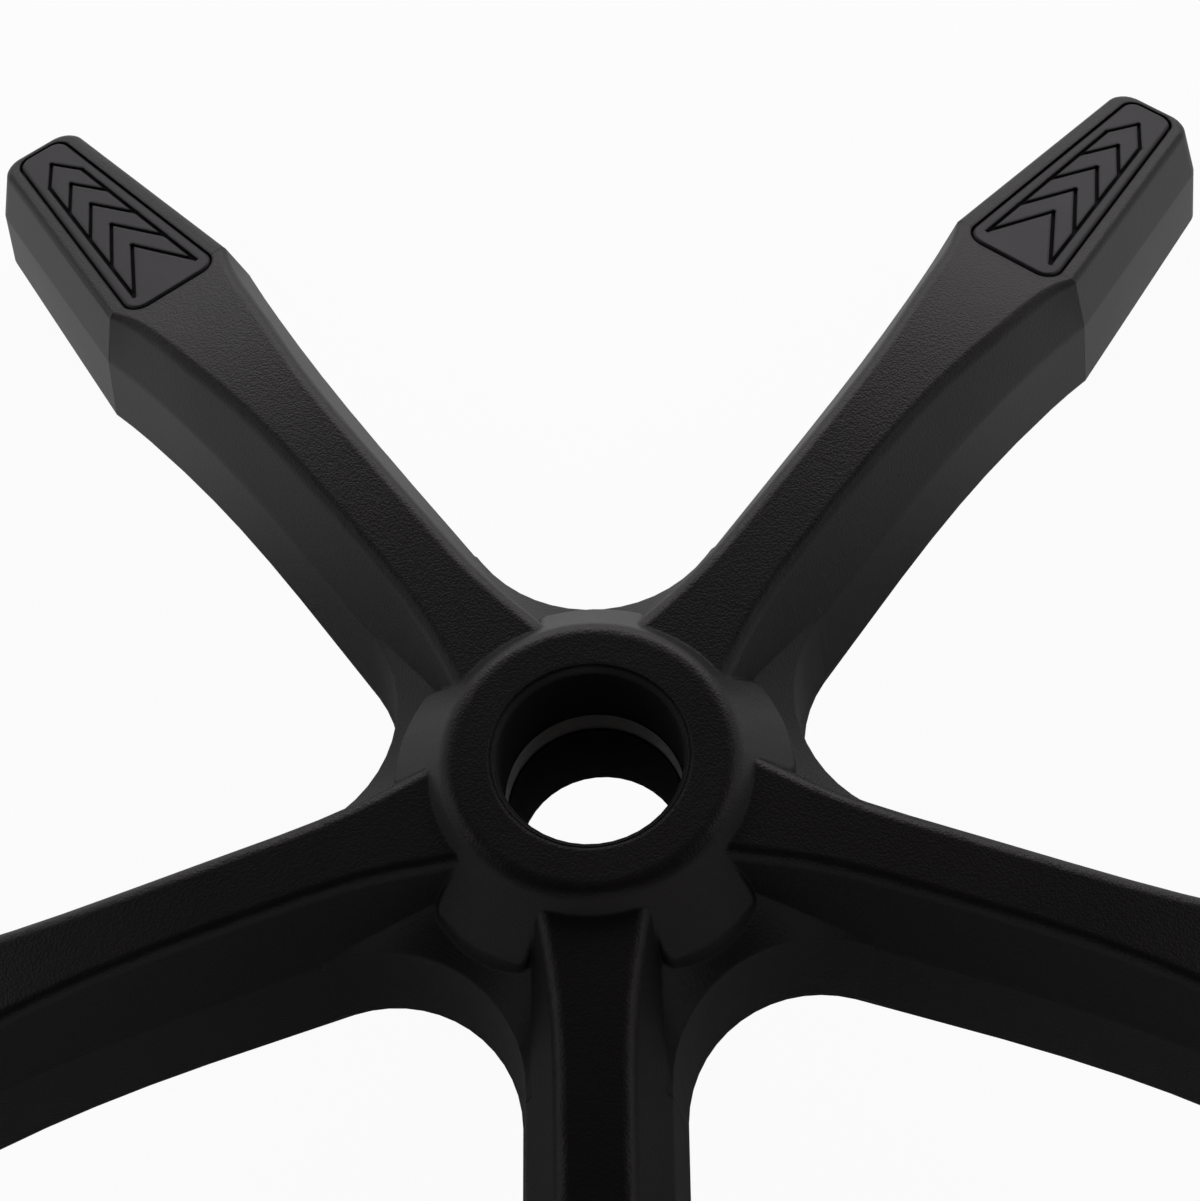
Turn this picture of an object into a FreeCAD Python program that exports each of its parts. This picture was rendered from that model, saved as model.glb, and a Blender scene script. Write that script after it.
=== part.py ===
import FreeCAD, Part
import math
import os

os.makedirs("parts", exist_ok=True)

V = FreeCAD.Vector

# Five-arm base of an office chair, moulded in glass-filled nylon. Millimetres, +Z up.
# The pieces are drawn from the middle of the hub's flat top ring, an arm along +X, and at the end they are
# lifted so that the origin is the top of the bore's straight wall.
arm_count = 5
front_arm_angle = 270.0

# Bore of the hub, from the mouth down
bore_radius = 25.0
mouth_chamfer_width = 1.65
mouth_chamfer_depth = 1.95
witness_line = 0.4
collar_top_z = -26.7
collar_height = 9.2
collar_lip = 0.3
collar_wall = 3.4
taper_top_radius = 24.4
taper_bottom_radius = 23.2
sleeve_bottom_z = -65.3
sleeve_radius = 32.0

# Outside of the hub
ring_radius = 39.1
ring_edge_rounding = 6.2
cone_foot_radius = 55.3
cone_foot_z = -21.5
rim_z = -66.4
crease_share = 0.43
valley_radius_rim = 36.5
valley_radius_crease = 40.0
valley_radius_top = 20.0
star_top_z = -12.0
star_reach = 84.0
hub_core_radius = 44.0
lug_half_width = 13.0
lug_reach = 52.8
lug_corner = 4.0
lug_draft = 4.2
lug_edge_rounding = 2.0
lug_foot_depth = 4.0

# Arm between the hub and the shoulder
arm_start = 28.0
root_at = 46.0
waist_at = 115.0
shoulder_at = 221.0
root_top_z = -6.0
top_slope = 0.05
top_drop = 14.5
rim_bend_at = 120.0
rim_drop = 10.4
flare_power = 2.4
top_half_root = 14.4
root_flare_power = 4
top_half_waist = 9.8
top_half_shoulder = 20.6
crease_half_waist = 19.2
crease_half_shoulder = 26.2
rim_half_waist = 22.6
rim_half_shoulder = 29.8
edge_rounding = 4.0
end_edge_rounding = 2.2
crease_rounding = 8.0
shoulder_step = 0.03
arm_stations = [0.0, 0.095, 0.18, 0.35, 0.53, 0.71, 0.865]
hollow_stations = [0.0, 0.07, 0.16, 0.44, 0.71]

# Straight end of the arm, built square to the sloping pad plane
end_slope_deg = 16.07
end_length_top = 94.3
end_length_rim = 117.7
end_taper_top = 0.0835
end_taper_crease = 0.089
end_taper_rim = 0.107
end_corner_top = 7.5
end_corner_rim = 10.0

# Foot pad let into the end of the arm
pad_inner_at = -4.9
pad_length = 96.4
pad_inner_half = 15.5
pad_outer_half = 8.0
pad_inner_corner = 5.5
pad_outer_corner = 4.5
pad_thickness = 2.9
pad_gap = 0.8
pocket_depth = 2.6
pad_edge_rounding = 0.7
chevron_count = 5
chevron_first_tip = 82.0
chevron_pitch = 14.55
chevron_first_angle = 29.5
chevron_last_angle = 26.4
groove_width = 1.3
groove_depth = 1.2
rail_foot_half = 11.15
rail_head_half = 6.1
peg_radius = 2.5
peg_length = 5.4
peg_clearance = 0.3
peg_inset = 22.0

# Hollow underside and its ribs
wall = 3.8
skin = 4.6
hub_skin = 6.6
pad_skin = 7.0
rib = 2.8
rib_recess = 3.5
hollow_lap = 0.5
truss_start = 62.0
truss_bays = 5
truss_end = 262.0

# Socket for the castor stem, 11 mm, in a boss at the end of each arm
stem_at = 290.0
stem_radius = 5.5
stem_depth = 30.0
stem_lead = 1.0
boss_radius = 11.0
boss_foot_z = -107.0
boss_height = 53.0

# How far the cutting shapes run past the faces that they open
over = 6.0

# How near two places count as the same
near = 0.01


# Small shape helpers used by every piece
def face_of(points):
    return Part.Face(Part.makePolygon(points + [points[0]]))


def tilt(shape):
    turned = shape.copy()
    shoulder = V(shoulder_at, 0, top_z(shoulder_at))
    slope = FreeCAD.Placement(shoulder, FreeCAD.Rotation(V(0, 1, 0), end_slope_deg))
    turned.Placement = slope.multiply(turned.Placement)
    return turned


def on_arm(shape, number):
    turned = shape.copy()
    turned.rotate(V(0, 0, 0), V(0, 0, 1), front_arm_angle + number * 360.0 / arm_count)
    return turned


def place(shape):
    moved = shape.copy()
    moved.translate(V(0, 0, mouth_chamfer_depth))
    return moved


def round_corner(before, corner, after, radius):
    a = (before - corner).normalize()
    b = (after - corner).normalize()
    half = a.getAngle(b) / 2.0
    reach = radius / math.tan(half)
    centre = corner + (a + b).normalize() * (radius / math.sin(half))
    start = corner + a * reach
    end = corner + b * reach
    middle = centre + (corner - centre).normalize() * radius
    return start, middle, end


# The long lines of the arm: flat top, crease in the side wall and lower rim
def top_z(u):
    run = (u - root_at) / (shoulder_at - root_at)
    return root_top_z - top_slope * (u - root_at) - top_drop * max(run, 0.0) ** 3


def lower_z(u):
    run = max(u - rim_bend_at, 0.0) / (shoulder_at - rim_bend_at)
    return rim_z - rim_drop * run ** 2


def crease_z(u):
    return top_z(u) + crease_share * (lower_z(u) - top_z(u))


def half_width(u, root, waist, shoulder):
    if u < waist_at:
        run = min((waist_at - u) / (waist_at - root_at), 1.0)
        return waist + (root - waist) * run ** root_flare_power
    run = (u - waist_at) / (shoulder_at - waist_at)
    return waist + (shoulder - waist) * run ** flare_power


def top_half(u):
    return half_width(u, top_half_root, top_half_waist, top_half_shoulder)


def crease_half(u):
    return half_width(u, crease_half_waist, crease_half_waist, crease_half_shoulder)


def rim_half(u):
    return half_width(u, rim_half_waist, rim_half_waist, rim_half_shoulder)


def arm_section(u, step):
    foot = V(u, rim_half(u) - step, lower_z(u))
    crease = V(u, crease_half(u) - step, crease_z(u))
    edge = V(u, top_half(u) - step, top_z(u) - step)
    mid = V(u, 0, top_z(u) - step)
    c1, c2, c3 = round_corner(foot, crease, edge, crease_rounding)
    rounding = edge_rounding if u < shoulder_at else end_edge_rounding
    t1, t2, t3 = round_corner(crease, edge, mid, rounding)
    right = [foot, c1, c2, c3, t1, t2, t3]
    left = [V(p.x, -p.y, p.z) for p in right]
    edges = [Part.makeLine(left[0], right[0])]
    edges.append(Part.makeLine(right[0], right[1]))
    edges.append(Part.Arc(right[1], right[2], right[3]).toShape())
    edges.append(Part.makeLine(right[3], right[4]))
    edges.append(Part.Arc(right[4], right[5], right[6]).toShape())
    edges.append(Part.makeLine(right[6], left[6]))
    edges.append(Part.Arc(left[6], left[5], left[4]).toShape())
    edges.append(Part.makeLine(left[4], left[3]))
    edges.append(Part.Arc(left[3], left[2], left[1]).toShape())
    edges.append(Part.makeLine(left[1], left[0]))
    return Part.Wire(edges)


def arm_outside():
    wires = [arm_section(arm_start + share * (shoulder_at - arm_start), 0.0) for share in arm_stations]
    wires.append(arm_section(shoulder_at, shoulder_step))
    return Part.makeLoft(wires, True, False)


# End of the arm: three levels parallel to the pad, each with a rounded outer end
def level_fall():
    return (top_z(shoulder_at) - lower_z(shoulder_at)) * math.cos(math.radians(end_slope_deg))


def end_outline(n, half, taper, length, corner, inset):
    slope = math.radians(end_slope_deg)
    start = -n * math.tan(slope)
    end = length - inset

    def width(t):
        return half - inset - taper * (t * math.cos(slope) + n * math.sin(slope))

    a = V(start, -width(start), n)
    b = V(end, -width(end), n)
    c = V(end, width(end), n)
    d = V(start, width(start), n)
    b1, b2, b3 = round_corner(a, b, c, corner)
    c1, c2, c3 = round_corner(b, c, d, corner)
    edges = [Part.makeLine(a, b1), Part.Arc(b1, b2, b3).toShape(), Part.makeLine(b3, c1)]
    edges += [Part.Arc(c1, c2, c3).toShape(), Part.makeLine(c3, d), Part.makeLine(d, a)]
    return Part.Wire(edges)


def end_levels(inset, top_n, extra):
    fall = level_fall()
    mid_length = end_length_top + crease_share * (end_length_rim - end_length_top)
    mid_corner = (end_corner_top + end_corner_rim) / 2.0
    wires = [end_outline(-top_n, top_half(shoulder_at), end_taper_top, end_length_top, end_corner_top, inset)]
    wires.append(end_outline(-crease_share * fall, crease_half(shoulder_at), end_taper_crease, mid_length,
                             mid_corner, inset))
    wires.append(end_outline(-fall - extra, rim_half(shoulder_at), end_taper_rim, end_length_rim,
                             end_corner_rim, inset))
    return wires


def arm_end():
    block = Part.makeLoft(end_levels(0.0, 0.0, 0.0), True, True)
    top_edges = []
    for edge in block.Edges:
        box = edge.BoundBox
        if abs(box.ZMin) < near and abs(box.ZMax) < near and box.XMax > near:
            top_edges.append(edge)
    return tilt(block.makeFillet(end_edge_rounding, top_edges))


# Hub: star-shaped wall with hollow valleys, cut off by the cone under the top ring, and five lugs
def star_outline(z, half, valley, reach):
    corner = math.pi / arm_count
    tangent = (half + valley) / math.tan(corner)
    points = []
    for number in range(arm_count):
        a = math.radians(front_arm_angle) + number * 2.0 * corner
        away = V(math.cos(a), math.sin(a), 0)
        side = V(-math.sin(a), math.cos(a), 0)
        mid = a + corner
        centre_at = (half + valley) / math.sin(corner)
        deep = V(math.cos(mid), math.sin(mid), 0) * (centre_at - valley)
        after = a + 2.0 * corner
        next_away = V(math.cos(after), math.sin(after), 0)
        next_side = V(-math.sin(after), math.cos(after), 0)
        lift = V(0, 0, z)
        points.append((away * reach - side * half + lift, away * reach + side * half + lift,
                       away * tangent + side * half + lift, deep + lift,
                       next_away * tangent - next_side * half + lift, next_away * reach - next_side * half + lift))
    edges = []
    for p in points:
        edges.append(Part.makeLine(p[0], p[1]))
        edges.append(Part.makeLine(p[1], p[2]))
        edges.append(Part.Arc(p[2], p[3], p[4]).toShape())
        edges.append(Part.makeLine(p[4], p[5]))
    return Part.Wire(edges)


def cone_body(drop, floor):
    slope = -cone_foot_z / (cone_foot_radius - ring_radius)
    foot_radius = ring_radius + (-floor - drop) / slope
    points = [V(0, 0, -drop), V(ring_radius, 0, -drop), V(foot_radius, 0, floor), V(0, 0, floor)]
    body = face_of(points).revolve(V(0, 0, 0), V(0, 0, 1), 360)
    ring = [e for e in body.Edges if abs(e.BoundBox.ZMin + drop) < near
            and abs(e.BoundBox.XMax - ring_radius) < near]
    return body.makeFillet(ring_edge_rounding, ring)


def star_wall(inset, sink, floor_extra):
    foot = star_outline(rim_z - floor_extra, rim_half_waist - inset, valley_radius_rim + inset, star_reach)
    crease_at = crease_z(root_at)
    crease = star_outline(crease_at, crease_half_waist - inset, valley_radius_crease + inset, star_reach)
    thinner = inset / 2.0
    head = star_outline(star_top_z - sink, top_half_waist - thinner, valley_radius_top + thinner, star_reach)
    return Part.makeLoft([foot, crease, head], True, True)


def lug_outline(z, half, reach):
    start = ring_radius / 2.0
    bend = math.sqrt(reach ** 2 - half ** 2)
    a = V(start, -half, z)
    b = V(bend, -half, z)
    tip = V(reach, 0, z)
    c = V(bend, half, z)
    d = V(start, half, z)
    b1, b2, b3 = round_corner(a, b, tip, lug_corner)
    c1, c2, c3 = round_corner(tip, c, d, lug_corner)
    edges = [Part.makeLine(a, b1), Part.Arc(b1, b2, b3).toShape(), Part.Arc(b3, tip, c1).toShape()]
    edges += [Part.Arc(c1, c2, c3).toShape(), Part.makeLine(c3, d), Part.makeLine(d, a)]
    return Part.Wire(edges)


def lug_block(inset, drop):
    foot_z = crease_z(root_at) - lug_foot_depth
    half = lug_half_width - inset
    reach = lug_reach - inset
    foot = lug_outline(foot_z, half + lug_draft, reach + lug_draft)
    head = lug_outline(0.0, half, reach)
    return Part.makeLoft([foot, head], True, True).common(cone_body(drop, rim_z))


def between_arms(shape):
    turned = shape.copy()
    turned.rotate(V(0, 0, 0), V(0, 0, 1), 180.0 / arm_count)
    return turned


def lug():
    block = lug_block(0.0, 0.0)
    steep = [e for e in block.Edges if crease_z(root_at) < e.BoundBox.ZMin
             and e.BoundBox.ZMax < -lug_edge_rounding and e.BoundBox.XMax > hub_core_radius]
    return between_arms(block.makeFillet(lug_edge_rounding, steep))


def hub_outside():
    core = Part.makeCylinder(hub_core_radius, -rim_z - wall, V(0, 0, rim_z + wall))
    body = star_wall(0.0, 0.0, 0.0).fuse(core.common(cone_body(0.0, rim_z)))
    for number in range(arm_count):
        body = body.fuse(on_arm(lug(), number))
    return body


# Hollow of one arm, of the hub and the ribs left standing in them
def arm_hollow():
    wires = []
    start = sleeve_radius + rib / 2.0
    for u in [start + share * (shoulder_at - start) for share in hollow_stations] + [shoulder_at + hollow_lap]:
        foot = V(u, rim_half(min(u, shoulder_at)) - wall + hollow_lap, lower_z(u) - over)
        crease = V(u, crease_half(min(u, shoulder_at)) - wall, crease_z(u))
        edge = V(u, top_half(min(u, shoulder_at)) - wall, top_z(u) - skin)
        side = [foot, crease, edge]
        back = [V(p.x, -p.y, p.z) for p in reversed(side)]
        wires.append(Part.makePolygon(side + back + [side[0]]))
    return Part.makeLoft(wires, True, True)


def end_hollow():
    return tilt(Part.makeLoft(end_levels(wall, pad_skin, over), True, True))


def plate(u0, v0, u1, v1, low, high):
    run = V(u1 - u0, v1 - v0, 0)
    side = V(-run.y, run.x, 0).normalize() * (rib / 2.0)
    a = V(u0, v0, low)
    b = V(u1, v1, low)
    return face_of([a + side, b + side, b - side, a - side]).extrude(V(0, 0, high - low))


def arm_ribs():
    low = boss_foot_z - over
    pieces = [plate(sleeve_radius - rib, 0, shoulder_at + end_length_rim, 0, low, 0.0)]
    bay = (truss_end - truss_start) / truss_bays
    reach = rim_half_shoulder
    for number in range(truss_bays):
        u0 = truss_start + number * bay
        u1 = u0 + bay
        pieces.append(plate(u0, -reach, u1, reach, low, 0.0))
        pieces.append(plate(u0, reach, u1, -reach, low, 0.0))
    pieces.append(plate(stem_at, -reach, stem_at, reach, low, 0.0))
    ribs = pieces[0].multiFuse(pieces[1:])
    return ribs.cut(rib_relief())


def rib_relief():
    inner = arm_start - over
    across = 2.0 * rim_half_shoulder
    points = []
    for u in [inner, rim_bend_at, (rim_bend_at + shoulder_at) / 2.0, shoulder_at]:
        points.append(V(u, -across, lower_z(u) + rib_recess))
    far = shoulder_at + end_length_rim
    points.append(V(far, -across, points[-1].z - end_length_rim * math.tan(math.radians(end_slope_deg))))
    points.append(V(far, -across, 2.0 * boss_foot_z))
    points.append(V(inner, -across, 2.0 * boss_foot_z))
    return face_of(points).extrude(V(0, 2.0 * across, 0))


def hub_hollow():
    body = star_wall(wall, skin, over)
    for number in range(arm_count):
        body = body.fuse(on_arm(between_arms(lug_block(wall, hub_skin)), number))
    spoke = between_arms(plate(sleeve_radius - rib, 0, star_reach, 0, rim_z + rib_recess, 0.0))
    for number in range(arm_count):
        body = body.cut(on_arm(spoke, number))
    return body


# Bore with its mouth chamfer, seat for the collar and tapered lower half
def bore_tool():
    collar_foot = collar_top_z - collar_height
    seat = bore_radius + collar_wall
    mouth = bore_radius + mouth_chamfer_width
    points = [V(0, 0, over), V(mouth, 0, over), V(mouth, 0, 0)]
    points += [V(bore_radius, 0, -mouth_chamfer_depth), V(bore_radius, 0, collar_top_z)]
    points += [V(seat, 0, collar_top_z), V(seat, 0, collar_foot), V(taper_top_radius, 0, collar_foot)]
    points += [V(taper_bottom_radius, 0, sleeve_bottom_z - over), V(0, 0, sleeve_bottom_z - over)]
    return face_of(points).revolve(V(0, 0, 0), V(0, 0, 1), 360)


def witness_groove():
    inner = bore_radius + mouth_chamfer_width - witness_line / 2.0
    outer = bore_radius + mouth_chamfer_width + witness_line
    points = [V(inner, 0, over), V(outer, 0, over), V(outer, 0, -witness_line), V(inner, 0, -witness_line)]
    return face_of(points).revolve(V(0, 0, 0), V(0, 0, 1), 360)


def bore_collar():
    inner = bore_radius - collar_lip
    seat = bore_radius + collar_wall
    foot = collar_top_z - collar_height
    points = [V(inner, 0, collar_top_z), V(seat, 0, collar_top_z), V(seat, 0, foot), V(inner, 0, foot)]
    return face_of(points).revolve(V(0, 0, 0), V(0, 0, 1), 360)


# Socket for the castor stem
def boss():
    return Part.makeCylinder(boss_radius, boss_height, V(stem_at, 0, boss_foot_z))


def stem_hole():
    hole = Part.makeCylinder(stem_radius, stem_depth, V(stem_at, 0, boss_foot_z))
    lead = Part.makeCone(stem_radius + stem_lead, stem_radius, stem_lead, V(stem_at, 0, boss_foot_z))
    return hole.fuse(lead)


# Foot pad and the pocket it lies in, drawn in the pad plane
def pad_outline(n, grow):
    a = V(pad_inner_at - grow, -pad_inner_half - grow, n)
    b = V(pad_inner_at + pad_length + grow, -pad_outer_half - grow, n)
    c = V(b.x, -b.y, n)
    d = V(a.x, -a.y, n)
    corners = [(d, a, b, pad_inner_corner), (a, b, c, pad_outer_corner), (b, c, d, pad_outer_corner)]
    corners.append((c, d, a, pad_inner_corner))
    rounds = [round_corner(p, q, r, radius + grow) for p, q, r, radius in corners]
    edges = []
    for i in range(4):
        edges.append(Part.Arc(*rounds[i]).toShape())
        edges.append(Part.makeLine(rounds[i][2], rounds[(i + 1) % 4][0]))
    return Part.Wire(edges)


def peg_places():
    return [pad_inner_at + peg_inset, pad_inner_at + pad_length - peg_inset]


def pocket():
    tool = Part.Face(pad_outline(-pocket_depth, pad_gap)).extrude(V(0, 0, pocket_depth + over))
    for t in peg_places():
        foot = V(t, 0, -pocket_depth - peg_length - peg_clearance)
        hole = Part.makeCylinder(peg_radius + peg_clearance, peg_length + over, foot)
        tool = tool.fuse(hole)
    return tilt(tool)


def stroke(a, b):
    run = b - a
    side = V(-run.y, run.x, 0).normalize() * (groove_width / 2.0)
    top = pad_thickness - pocket_depth
    low = V(0, 0, top - groove_depth)
    tip = run.normalize() * (groove_width / 2.0)
    return face_of([a - tip + side + low, b + tip + side + low, b + tip - side + low,
                    a - tip - side + low]).extrude(V(0, 0, groove_depth + over))


def grooves():
    turn = (chevron_last_angle - chevron_first_angle) / (chevron_count - 1)
    spreads = [math.tan(math.radians(chevron_first_angle + number * turn)) for number in range(chevron_count)]
    tips = [chevron_first_tip - number * chevron_pitch for number in range(chevron_count)]
    foot_at = tips[-1] - rail_foot_half / spreads[-1]
    head_at = tips[0] - rail_head_half / spreads[0]
    lean = (rail_foot_half - rail_head_half) / (head_at - foot_at)
    strokes = []
    for sign in (-1, 1):
        strokes.append(stroke(V(foot_at, sign * rail_foot_half, 0), V(head_at, sign * rail_head_half, 0)))
        for tip, spread in zip(tips, spreads):
            back = (rail_foot_half - lean * (tip - foot_at)) / (spread - lean)
            strokes.append(stroke(V(tip, 0, 0), V(tip - back, sign * back * spread, 0)))
    return strokes[0].multiFuse(strokes[1:])


def foot_pad():
    body = Part.Face(pad_outline(-pocket_depth, 0.0)).extrude(V(0, 0, pad_thickness))
    top = pad_thickness - pocket_depth
    rim = [e for e in body.Edges if abs(e.BoundBox.ZMin - top) < near]
    body = body.makeChamfer(pad_edge_rounding, rim)
    body = body.cut(grooves())
    for t in peg_places():
        body = body.fuse(Part.makeCylinder(peg_radius, peg_length, V(t, 0, -pocket_depth - peg_length)))
    return tilt(body.removeSplitter())


# The one moulding: hub and five arms outside, hollow and ribbed below
def moulding():
    body = hub_outside()
    arm = arm_outside().fuse(arm_end()).fuse(boss())
    for number in range(arm_count):
        body = body.fuse(on_arm(arm, number))
    ribs = arm_ribs()
    sleeve = Part.makeCylinder(sleeve_radius, -sleeve_bottom_z, V(0, 0, sleeve_bottom_z))
    hollow = arm_hollow().fuse(end_hollow()).cut(boss()).cut(ribs).cut(sleeve)
    hub_void = hub_hollow().cut(sleeve)
    for number in range(arm_count):
        hub_void = hub_void.cut(on_arm(ribs, number))
    for number in range(arm_count):
        body = body.cut(on_arm(hollow, number))
        body = body.cut(on_arm(pocket(), number))
        body = body.cut(on_arm(stem_hole(), number))
    for tool in [hub_void, bore_tool(), witness_groove()]:
        body = body.cut(tool)
    return body.removeSplitter()


if __name__ == "__main__":
    place(moulding()).exportStep("parts/base_moulding.step")
    place(bore_collar()).exportStep("parts/bore_collar.step")
    names = ["pad_front", "pad_right", "pad_back_right", "pad_back_left", "pad_left"]
    for number, name in enumerate(names):
        place(on_arm(foot_pad(), number)).exportStep("parts/" + name + ".step")
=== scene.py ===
import math

import bpy
from mathutils import Matrix, Vector


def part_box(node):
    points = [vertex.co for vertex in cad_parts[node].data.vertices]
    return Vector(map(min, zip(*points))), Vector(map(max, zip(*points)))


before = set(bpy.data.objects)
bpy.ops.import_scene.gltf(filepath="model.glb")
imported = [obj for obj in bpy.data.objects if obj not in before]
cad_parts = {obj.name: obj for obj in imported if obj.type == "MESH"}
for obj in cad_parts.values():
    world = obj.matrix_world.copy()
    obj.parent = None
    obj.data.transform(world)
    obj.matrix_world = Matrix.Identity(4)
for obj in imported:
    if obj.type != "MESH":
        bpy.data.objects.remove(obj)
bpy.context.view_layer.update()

# Camera. A long lens looks down over the front arm, with the hub below the
# middle of the picture. The picture is a crop of a wider one, so the lens
# axis sits a little right of its middle.

camera_azimuth = math.radians(2.0646)
camera_elevation = math.radians(61.5279)
camera_roll = math.radians(-3.7592)
camera_place = Vector((0.03479, -0.31008, 0.65652))

towards_eye = Vector((
    math.sin(camera_azimuth) * math.cos(camera_elevation),
    -math.cos(camera_azimuth) * math.cos(camera_elevation),
    math.sin(camera_elevation),
))
level_right = Vector((math.cos(camera_azimuth), math.sin(camera_azimuth), 0.0))
upright = towards_eye.cross(level_right)
picture_right = math.cos(camera_roll) * level_right + math.sin(camera_roll) * upright
picture_up = math.cos(camera_roll) * upright - math.sin(camera_roll) * level_right

lens = bpy.data.cameras.new("product_camera")
lens.sensor_fit = "AUTO"
lens.sensor_width = 36.0
lens.lens = 81.89
lens.shift_x = -0.0577
lens.shift_y = 0.0022
camera = bpy.data.objects.new("product_camera", lens)
turn = Matrix((picture_right, picture_up, towards_eye)).transposed()
camera.matrix_world = Matrix.Translation(camera_place) @ turn.to_4x4()
bpy.context.scene.collection.objects.link(camera)
bpy.context.scene.camera = camera
bpy.context.scene.view_settings.view_transform = "Standard"


# Base moulding. Hub, five arms and their lugs are one shot of glass filled
# black nylon. The tool is spark eroded, which leaves a fine leather grain on
# the top and the flanks, and it is plain in the bore and underneath.


def put(tree, kind, inputs=(), **settings):
    """A new node, with its settings and its plain socket values."""
    node = tree.nodes.new(kind)
    for name, value in settings.items():
        setattr(node, name, value)
    for name, value in dict(inputs).items():
        if isinstance(value, bpy.types.NodeSocket):
            tree.links.new(value, node.inputs[name])
        else:
            node.inputs[name].default_value = value
    return node


def sums(tree, operation, first, second=0.5, third=0.5):
    """One line of arithmetic between sockets or numbers."""
    terms = {0: first, 1: second, 2: third}
    return put(tree, "ShaderNodeMath", terms, operation=operation).outputs[0]


def ramp(tree, value, low, high, to_low=0.0, to_high=1.0):
    """A soft step of value between low and high."""
    node = put(tree, "ShaderNodeMapRange", {
        "Value": value, "From Min": low, "From Max": high,
        "To Min": to_low, "To Max": to_high,
    }, interpolation_type="SMOOTHSTEP")
    return node.outputs["Result"]


def tint(tree, share, first, second):
    """A mix of two colours, which may be sockets."""
    node = put(tree, "ShaderNodeMix", data_type="RGBA")
    for socket, value in ((0, share), (6, first), (7, second)):
        if isinstance(value, bpy.types.NodeSocket):
            tree.links.new(value, node.inputs[socket])
        else:
            node.inputs[socket].default_value = value
    return node.outputs[2]


def new_group(name, takes, gives):
    """An empty shader group with float and vector sockets."""
    group = bpy.data.node_groups.new(name, "ShaderNodeTree")
    for label, kind in takes:
        group.interface.new_socket(label, in_out="INPUT", socket_type=kind)
    for label, kind in gives:
        group.interface.new_socket(label, in_out="OUTPUT", socket_type=kind)
    entry = group.nodes.new("NodeGroupInput")
    leave = group.nodes.new("NodeGroupOutput")
    return group, entry, leave


def finish_named(name):
    """A material with its shader, and the place of a point on the part."""
    made = bpy.data.materials.new(name)
    made.use_nodes = True
    tree = made.node_tree
    shader = tree.nodes["Principled BSDF"]
    place = tree.nodes.new("ShaderNodeTexCoord").outputs["Object"]
    return made, tree, shader, place


# The eroded grain: cells of under a millimetre with a finer tooth on them.
cell_wander = 0.0007
tooth_share = 0.45
grain, entry, leave = new_group(
    "eroded grain",
    [("Place", "NodeSocketVector"), ("Cells per metre", "NodeSocketFloat")],
    [("Height", "NodeSocketFloat")],
)
wander = put(grain, "ShaderNodeTexNoise", {
    "Vector": entry.outputs["Place"], "Scale": 420.0, "Detail": 1.0,
})
bent = put(grain, "ShaderNodeVectorMath", {
    0: wander.outputs["Color"], 1: (cell_wander, cell_wander, cell_wander),
    2: entry.outputs["Place"],
}, operation="MULTIPLY_ADD")
cells = put(grain, "ShaderNodeTexVoronoi", {
    "Vector": bent.outputs[0], "Scale": entry.outputs["Cells per metre"],
}, feature="F1")
tooth = put(grain, "ShaderNodeTexNoise", {
    "Vector": entry.outputs["Place"], "Scale": 2600.0, "Detail": 2.0,
    "Roughness": 0.6,
})
crowns = ramp(grain, cells.outputs["Distance"], 0.15, 0.85, 1.0, 0.0)
height = sums(grain, "MULTIPLY_ADD", tooth.outputs["Fac"], tooth_share, crowns)
grain.links.new(height, leave.inputs["Height"])

# Rubbed edges: where a rounded normal departs from the true one.
edge_softness = 0.0012
rubbed, entry, leave = new_group(
    "rubbed edges",
    [("Place", "NodeSocketVector"), ("Patches per metre", "NodeSocketFloat")],
    [("Rub", "NodeSocketFloat"), ("Soft normal", "NodeSocketVector")],
)
rounded = put(rubbed, "ShaderNodeBevel", {"Radius": edge_softness}, samples=3)
true_normal = rubbed.nodes.new("ShaderNodeNewGeometry").outputs["Normal"]
match = put(rubbed, "ShaderNodeVectorMath", {
    0: rounded.outputs["Normal"], 1: true_normal,
}, operation="DOT_PRODUCT")
edge = ramp(rubbed, match.outputs["Value"], 0.995, 0.90)
patches = put(rubbed, "ShaderNodeTexNoise", {
    "Vector": entry.outputs["Place"],
    "Scale": entry.outputs["Patches per metre"], "Detail": 2.0,
})
worn = sums(rubbed, "MULTIPLY", edge, ramp(rubbed, patches.outputs["Fac"], 0.35, 0.65))
rubbed.links.new(worn, leave.inputs["Rub"])
rubbed.links.new(rounded.outputs["Normal"], leave.inputs["Soft normal"])

# Settled dust: faint, in small drifts, on what faces up.
dust, entry, leave = new_group(
    "settled dust",
    [("Place", "NodeSocketVector"), ("Amount", "NodeSocketFloat")],
    [("Dust", "NodeSocketFloat")],
)
facing = put(dust, "ShaderNodeSeparateXYZ", {
    0: dust.nodes.new("ShaderNodeNewGeometry").outputs["Normal"],
})
drift = put(dust, "ShaderNodeTexNoise", {
    "Vector": entry.outputs["Place"], "Scale": 38.0, "Detail": 3.0,
    "Roughness": 0.65,
})
speck = put(dust, "ShaderNodeTexNoise", {
    "Vector": entry.outputs["Place"], "Scale": 1900.0, "Detail": 1.0,
})
lying = sums(dust, "MULTIPLY", ramp(dust, facing.outputs["Z"], 0.35, 1.0),
             ramp(dust, drift.outputs["Fac"], 0.35, 0.75))
specked = sums(dust, "MULTIPLY", lying,
               ramp(dust, speck.outputs["Fac"], 0.5, 0.75, 0.35, 1.0))
settled = sums(dust, "MULTIPLY", specked, entry.outputs["Amount"])
dust.links.new(settled, leave.inputs["Dust"])

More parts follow.
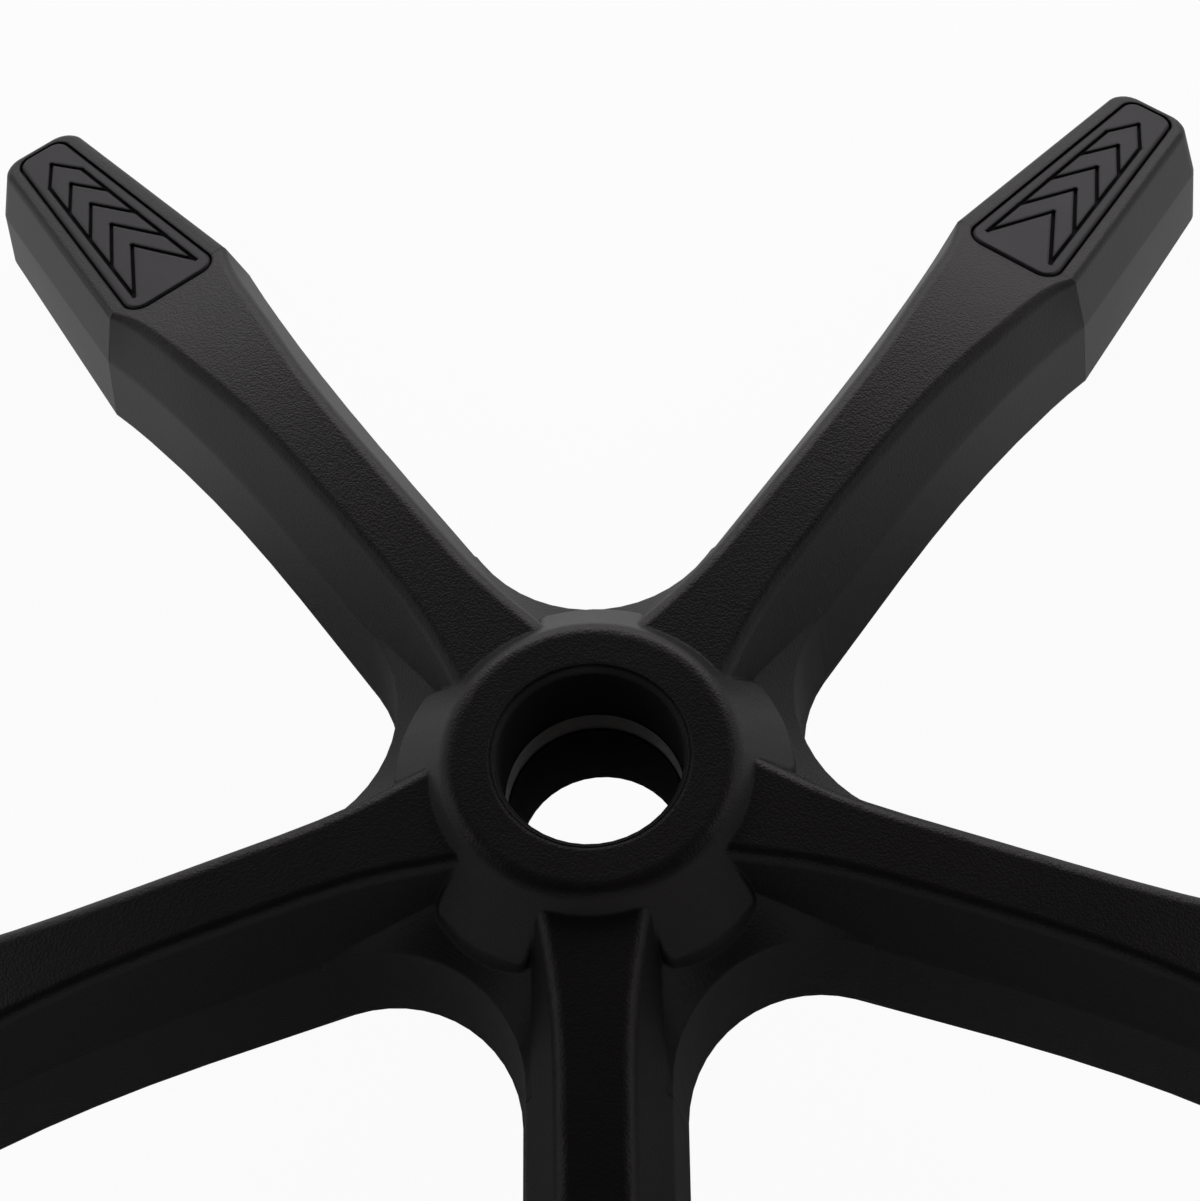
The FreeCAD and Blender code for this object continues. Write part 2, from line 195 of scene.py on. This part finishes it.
nylon_black = (0.0046, 0.0039, 0.0046, 1.0)
nylon_brown = (0.0052, 0.0043, 0.0043, 1.0)
nylon_pale = (0.0100, 0.0096, 0.0100, 1.0)
dust_grey = (0.030, 0.028, 0.027, 1.0)
socket_radius = 0.0275
socket_margin = 0.0006
mouth_foot = 0.0
mouth_margin = 0.0002
grain_depth = 0.00004
flank_grain = 0.85
top_roughness = 0.36
flank_roughness = 0.50
socket_roughness = 0.97
flow_roughness = 0.06
rub_paleness = 0.6
rub_polish = -0.07

nylon, tree, shader, place = finish_named("grained_black_nylon")
spot = put(tree, "ShaderNodeSeparateXYZ", {0: place})
away = put(tree, "ShaderNodeCombineXYZ", {0: spot.outputs["X"], 1: spot.outputs["Y"]})
radius = put(tree, "ShaderNodeVectorMath", {0: away.outputs[0]}, operation="LENGTH")
radius = radius.outputs["Value"]
way = put(tree, "ShaderNodeSeparateXYZ", {
    0: tree.nodes.new("ShaderNodeNewGeometry").outputs["Normal"],
})
on_top = ramp(tree, way.outputs["Z"], 0.55, 0.9)
in_bore = sums(tree, "MULTIPLY",
               ramp(tree, radius, socket_radius, socket_radius - socket_margin),
               ramp(tree, spot.outputs["Z"], mouth_foot, mouth_foot - mouth_margin))
outside = sums(tree, "MULTIPLY", ramp(tree, way.outputs["Z"], -0.5, -0.15),
               sums(tree, "SUBTRACT", 1.0, in_bore))
grained = put(tree, "ShaderNodeGroup", {
    "Place": place, "Cells per metre": 1350.0,
}, node_tree=grain)
edges = put(tree, "ShaderNodeGroup", {
    "Place": place, "Patches per metre": 60.0,
}, node_tree=rubbed)
dusty = put(tree, "ShaderNodeGroup", {"Place": place, "Amount": 0.10}, node_tree=dust)
flow = put(tree, "ShaderNodeTexNoise", {"Vector": place, "Scale": 14.0, "Detail": 3.0})
body = tint(tree, ramp(tree, flow.outputs["Fac"], 0.4, 0.65), nylon_black, nylon_brown)
rub = sums(tree, "MULTIPLY", edges.outputs["Rub"], rub_paleness)
body = tint(tree, rub, body, nylon_pale)
body = tint(tree, dusty.outputs["Dust"], body, dust_grey)
tree.links.new(body, shader.inputs["Base Color"])

# The bore is dull and plain, the flanks a little duller than the top.
relief = sums(tree, "MULTIPLY", outside, ramp(tree, on_top, 0.0, 1.0, flank_grain, 1.0))
rough = ramp(tree, way.outputs["Z"], 0.25, 0.85, flank_roughness, top_roughness)
rough = sums(tree, "MAXIMUM", rough, sums(tree, "MULTIPLY", in_bore, socket_roughness))
rough = sums(tree, "MULTIPLY_ADD", edges.outputs["Rub"], rub_polish, rough)
rough = sums(tree, "MULTIPLY_ADD", flow.outputs["Fac"], flow_roughness, rough)
tree.links.new(rough, shader.inputs["Roughness"])
bump = put(tree, "ShaderNodeBump", {
    "Strength": 1.0, "Distance": grain_depth, "Normal": edges.outputs["Soft normal"],
    "Height": sums(tree, "MULTIPLY", grained.outputs["Height"], relief),
})
tree.links.new(bump.outputs["Normal"], shader.inputs["Normal"])
shader.inputs["Specular IOR Level"].default_value = 0.20
shader.inputs["Specular Tint"].default_value = (1.0, 0.93, 0.98, 1.0)
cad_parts["base_moulding"].data.materials.clear()
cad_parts["base_moulding"].data.materials.append(nylon)


# Bore collar. A plain ring turned from steel tube and set in the tool before
# the shot. Its bore is left as turned, and it has dulled to a dark brown.

steel_dark = (0.0140, 0.0085, 0.0070, 1.0)
steel_light = (0.026, 0.0165, 0.0140, 1.0)
steel_roughness = 0.36
stain_roughness = 0.25
feeds_per_metre = 3600.0
feed_depth = 0.00004

steel, tree, shader, place = finish_named("dulled_turned_steel")
spot = put(tree, "ShaderNodeSeparateXYZ", {0: place})
feed = put(tree, "ShaderNodeTexNoise", {
    "W": sums(tree, "MULTIPLY", spot.outputs["Z"], feeds_per_metre),
    "Scale": 1.0, "Detail": 2.0,
}, noise_dimensions="1D")
stain = put(tree, "ShaderNodeTexNoise", {"Vector": place, "Scale": 90.0, "Detail": 4.0})
body = tint(tree, stain.outputs["Fac"], steel_dark, steel_light)
tree.links.new(body, shader.inputs["Base Color"])
rough = sums(tree, "MULTIPLY_ADD", stain.outputs["Fac"], stain_roughness, steel_roughness)
tree.links.new(rough, shader.inputs["Roughness"])
bump = put(tree, "ShaderNodeBump", {
    "Strength": 0.5, "Distance": feed_depth, "Height": feed.outputs["Fac"],
})
tree.links.new(bump.outputs["Normal"], shader.inputs["Normal"])
shader.inputs["Metallic"].default_value = 0.9
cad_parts["bore_collar"].data.materials.clear()
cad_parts["bore_collar"].data.materials.append(steel)


# Foot rest pads. Each is moulded by itself in a softer satin plastic, with
# chevron grooves for grip, and clips into the pocket at the end of an arm.
# Shoes polish the lands, and painted shade darkens the grooves and the gap.

pad_black = (0.0128, 0.0112, 0.0132, 1.0)
pad_scuffed = (0.0185, 0.0165, 0.0190, 1.0)
# Painted shade: the colour that the grooves and the gap are darkened to.
groove_painted_shade = (0.0025, 0.0022, 0.0022, 1.0)
pad_fall = math.radians(16.07)
pad_top_offset = 0.03524
painted_shade_starts = 0.0002
painted_shade_full = 0.0009
pad_grain_depth = 0.00003
pad_roughness = 0.38
cloud_roughness = 0.10
painted_shade_roughness = 0.45
shoe_polish = -0.06
pad_names = ("pad_front", "pad_right", "pad_back_right", "pad_back_left", "pad_left")

satin, tree, shader, place = finish_named("satin_pad_plastic")
fine = put(tree, "ShaderNodeGroup", {
    "Place": place, "Cells per metre": 2100.0,
}, node_tree=grain)
edges = put(tree, "ShaderNodeGroup", {
    "Place": place, "Patches per metre": 110.0,
}, node_tree=rubbed)
dusty = put(tree, "ShaderNodeGroup", {"Place": place, "Amount": 0.12}, node_tree=dust)
cloud = put(tree, "ShaderNodeTexNoise", {"Vector": place, "Scale": 45.0, "Detail": 4.0})

# Painted shade darkens by depth below the pads' sloping top face, in the grooves and the
# gap.
# The arm that a point is on is the one along which it reaches furthest out.
spot = put(tree, "ShaderNodeSeparateXYZ", {0: place})
outward = None
for number in range(len(pad_names)):
    bearing = math.radians(360.0 / len(pad_names) * number - 90.0)
    reach = put(tree, "ShaderNodeVectorMath", {
        0: place, 1: (math.cos(bearing), math.sin(bearing), 0.0),
    }, operation="DOT_PRODUCT").outputs["Value"]
    outward = reach if outward is None else sums(tree, "MAXIMUM", outward, reach)
rise = sums(tree, "MULTIPLY_ADD", outward, math.sin(pad_fall),
            sums(tree, "MULTIPLY", spot.outputs["Z"], math.cos(pad_fall)))
# Painted shade, deepest where the grooves and the gap sink below the top face.
groove_shade = ramp(tree, sums(tree, "SUBTRACT", pad_top_offset, rise), painted_shade_starts, painted_shade_full)
body = tint(tree, ramp(tree, cloud.outputs["Fac"], 0.35, 0.7), pad_black, pad_scuffed)
body = tint(tree, dusty.outputs["Dust"], body, dust_grey)
body = tint(tree, groove_shade, body, groove_painted_shade)
tree.links.new(body, shader.inputs["Base Color"])
rough = sums(tree, "MULTIPLY_ADD", cloud.outputs["Fac"], cloud_roughness, pad_roughness)
rough = sums(tree, "MULTIPLY_ADD", groove_shade, painted_shade_roughness, rough)
rough = sums(tree, "MULTIPLY_ADD", edges.outputs["Rub"], shoe_polish, rough)
tree.links.new(rough, shader.inputs["Roughness"])
bump = put(tree, "ShaderNodeBump", {
    "Strength": 0.6, "Distance": pad_grain_depth, "Height": fine.outputs["Height"],
    "Normal": edges.outputs["Soft normal"],
})
tree.links.new(bump.outputs["Normal"], shader.inputs["Normal"])
shader.inputs["Specular IOR Level"].default_value = 0.18
shader.inputs["Specular Tint"].default_value = (1.0, 0.93, 1.0, 1.0)
for name in pad_names:
    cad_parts[name].data.materials.clear()
    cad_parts[name].data.materials.append(satin)


# Studio. White paper under the base, which runs out to a white backdrop, a
# wide soft light behind it, which casts its shadow forward, and weak ones at
# its sides and in front. The paper is clear from below.

floor_gap = 0.0002
floor_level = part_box("base_moulding")[0].z - floor_gap
floor_half = 12.0
# Radii and forward shift of the painted shadow in reflections of the paper: a disc set
# forward of the base.
under_base = 0.34
past_base = 0.46
painted_shadow_shift = 0.24
paper_dull = (0.90, 0.90, 0.90, 1.0)
paper_bright = (0.93, 0.93, 0.93, 1.0)
paper_whiteness = 0.95
ceiling_light = 0.04
front_light_share = 0.20

sheet = bpy.data.meshes.new("studio_floor")
sheet.from_pydata(
    [(-floor_half, -floor_half, 0.0), (floor_half, -floor_half, 0.0),
     (floor_half, floor_half, 0.0), (-floor_half, floor_half, 0.0)],
    [], [(0, 1, 2, 3)])
floor = bpy.data.objects.new("studio_floor", sheet)
floor.location.z = floor_level
bpy.context.scene.collection.objects.link(floor)

paper, tree, shader, place = finish_named("white_paper")
fibre = put(tree, "ShaderNodeTexNoise", {"Vector": place, "Scale": 300.0, "Detail": 1.0})
body = tint(tree, fibre.outputs["Fac"], paper_dull, paper_bright)
tree.links.new(body, shader.inputs["Base Color"])
shader.inputs["Roughness"].default_value = 0.9
shader.inputs["Specular IOR Level"].default_value = 0.0
ray = tree.nodes.new("ShaderNodeLightPath")
# Painted shadow: glossy rays see a white glow only outside the disc. Inside it they see
# the paper's real lit shade, so the disc's outline is painted.
spot = put(tree, "ShaderNodeSeparateXYZ", {0: place})
away = put(tree, "ShaderNodeCombineXYZ", {
    0: spot.outputs["X"], 1: sums(tree, "ADD", spot.outputs["Y"], painted_shadow_shift),
})
radius = put(tree, "ShaderNodeVectorMath", {0: away.outputs[0]}, operation="LENGTH")
past_painted_shadow = ramp(tree, radius.outputs["Value"], under_base, past_base)
mirrored = sums(tree, "MULTIPLY", ray.outputs["Is Glossy Ray"], past_painted_shadow)
seen = sums(tree, "MAXIMUM", ray.outputs["Is Camera Ray"],
            sums(tree, "MAXIMUM", mirrored, ray.outputs["Is Transmission Ray"]))
glow = put(tree, "ShaderNodeEmission", {"Color": (1.0, 1.0, 1.0, 1.0), "Strength": 1.0})
lit = put(tree, "ShaderNodeMixShader", {
    0: sums(tree, "MULTIPLY", seen, paper_whiteness),
    1: shader.outputs[0], 2: glow.outputs[0],
})
from_below = put(tree, "ShaderNodeMixShader", {
    0: tree.nodes.new("ShaderNodeNewGeometry").outputs["Backfacing"],
    1: lit.outputs[0], 2: tree.nodes.new("ShaderNodeBsdfTransparent").outputs[0],
})
tree.links.new(from_below.outputs[0], tree.nodes["Material Output"].inputs["Surface"])
floor.data.materials.append(paper)

# The room lights the base from low down and behind, and little from above.
world = bpy.data.worlds.new("studio_room")
bpy.context.scene.world = world
world.use_nodes = True
tree = world.node_tree
backdrop = tree.nodes["Background"]
aim = put(tree, "ShaderNodeSeparateXYZ", {
    0: tree.nodes.new("ShaderNodeTexCoord").outputs["Generated"],
})
low_band = ramp(tree, aim.outputs["Z"], 0.40, 0.75, 1.0, ceiling_light)
behind = ramp(tree, aim.outputs["Y"], -0.25, 0.65, front_light_share, 1.0)
ray = tree.nodes.new("ShaderNodeLightPath")
paper_rise = ramp(tree, aim.outputs["Z"], 0.10, 0.22, 1.0, 0.0)
mirrored = sums(tree, "MULTIPLY", ray.outputs["Is Glossy Ray"], paper_rise)
seen = sums(tree, "MAXIMUM", ray.outputs["Is Camera Ray"],
            sums(tree, "MAXIMUM", mirrored, ray.outputs["Is Transmission Ray"]))
room = sums(tree, "MULTIPLY", low_band, behind)
strength = sums(tree, "MAXIMUM", seen, room)
tree.links.new(strength, backdrop.inputs["Strength"])
backdrop.inputs["Color"].default_value = (1.0, 1.0, 1.0, 1.0)


def soft_light(name, place, aim, width, height, power):
    """A soft box at place, turned to aim."""
    lamp = bpy.data.lights.new(name, "AREA")
    lamp.shape = "RECTANGLE"
    lamp.size = width
    lamp.size_y = height
    lamp.energy = power
    holder = bpy.data.objects.new(name, lamp)
    holder.location = place
    holder.rotation_mode = "QUATERNION"
    holder.rotation_quaternion = (Vector(aim) - Vector(place)).to_track_quat("-Z", "Y")
    bpy.context.scene.collection.objects.link(holder)
    return holder


base_middle = (0.0, 0.0, -0.05)
soft_light("back_light", (0.1, 2.7, 1.25), (0.0, 0.1, -0.05), 3.4, 1.1, 40.0)
soft_light("left_light", (-2.4, 0.3, 1.9), base_middle, 1.4, 1.4, 8.0)
soft_light("right_light", (2.4, 0.3, 1.9), base_middle, 1.4, 1.4, 8.0)
soft_light("front_light", (0.3, -2.6, 1.6), base_middle, 1.6, 1.2, 4.0)
